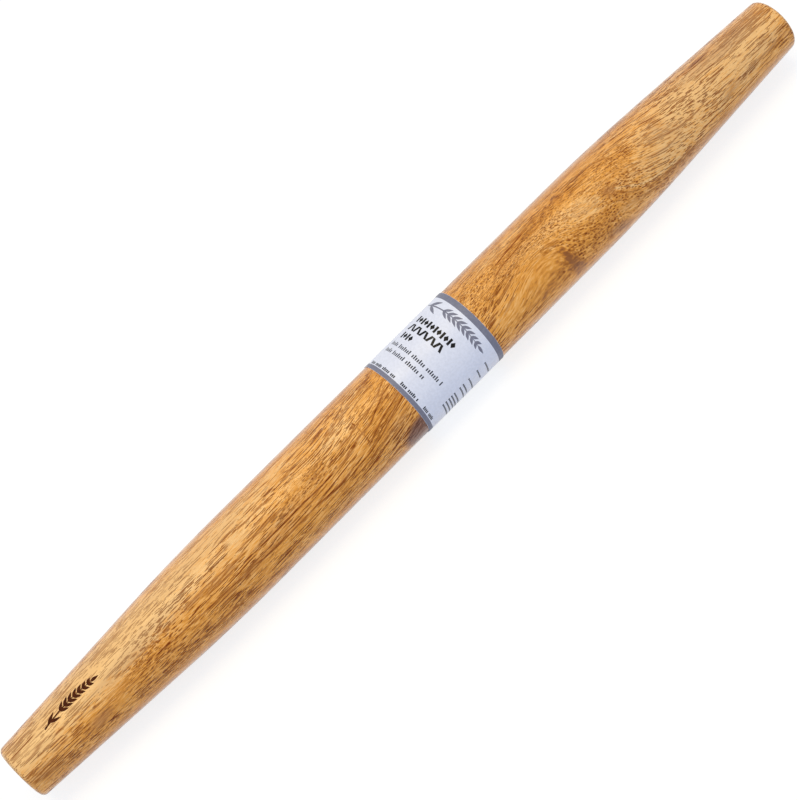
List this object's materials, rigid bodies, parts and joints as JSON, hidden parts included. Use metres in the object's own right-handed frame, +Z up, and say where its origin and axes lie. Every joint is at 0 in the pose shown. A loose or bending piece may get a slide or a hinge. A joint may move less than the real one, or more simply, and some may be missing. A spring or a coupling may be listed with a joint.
{
  "type": "french rolling pin",
  "caption": "Solid wooden rolling pin with a straight barrel that curves into slim cone ends with rounded rims, with a printed paper band wrapped round the middle that slides off.",
  "frame": {"origin": "on the pin's axis at half its length", "axes": "+X along the pin's axis, towards the end that is at the upper right in the picture; +Z up, away from the surface that the pin lies on; the band's printed front faces -Y and up, and its lap is at the back, +Y"},
  "size_m": [0.4572, 0.0389, 0.0386],
  "materials": {
    "oiled_wood": "open-pored honey brown hardwood, sanded smooth and oiled to a satin sheen",
    "printed_paper": "cool white coated paper with slate grey and black print",
    "clear_glue": "dried clear glue"
  },
  "bodies": {
    "pin": {"pin_body": "oiled_wood"},
    "band": {"paper_band": "printed_paper", "lap_glue": "clear_glue"}
  },
  "joints": [
    {"name": "band_slide", "type": "slide", "parent": "pin", "child": "band", "axis": [1, 0, 0], "range_m": [-0.268, 0.243]}
  ]
}
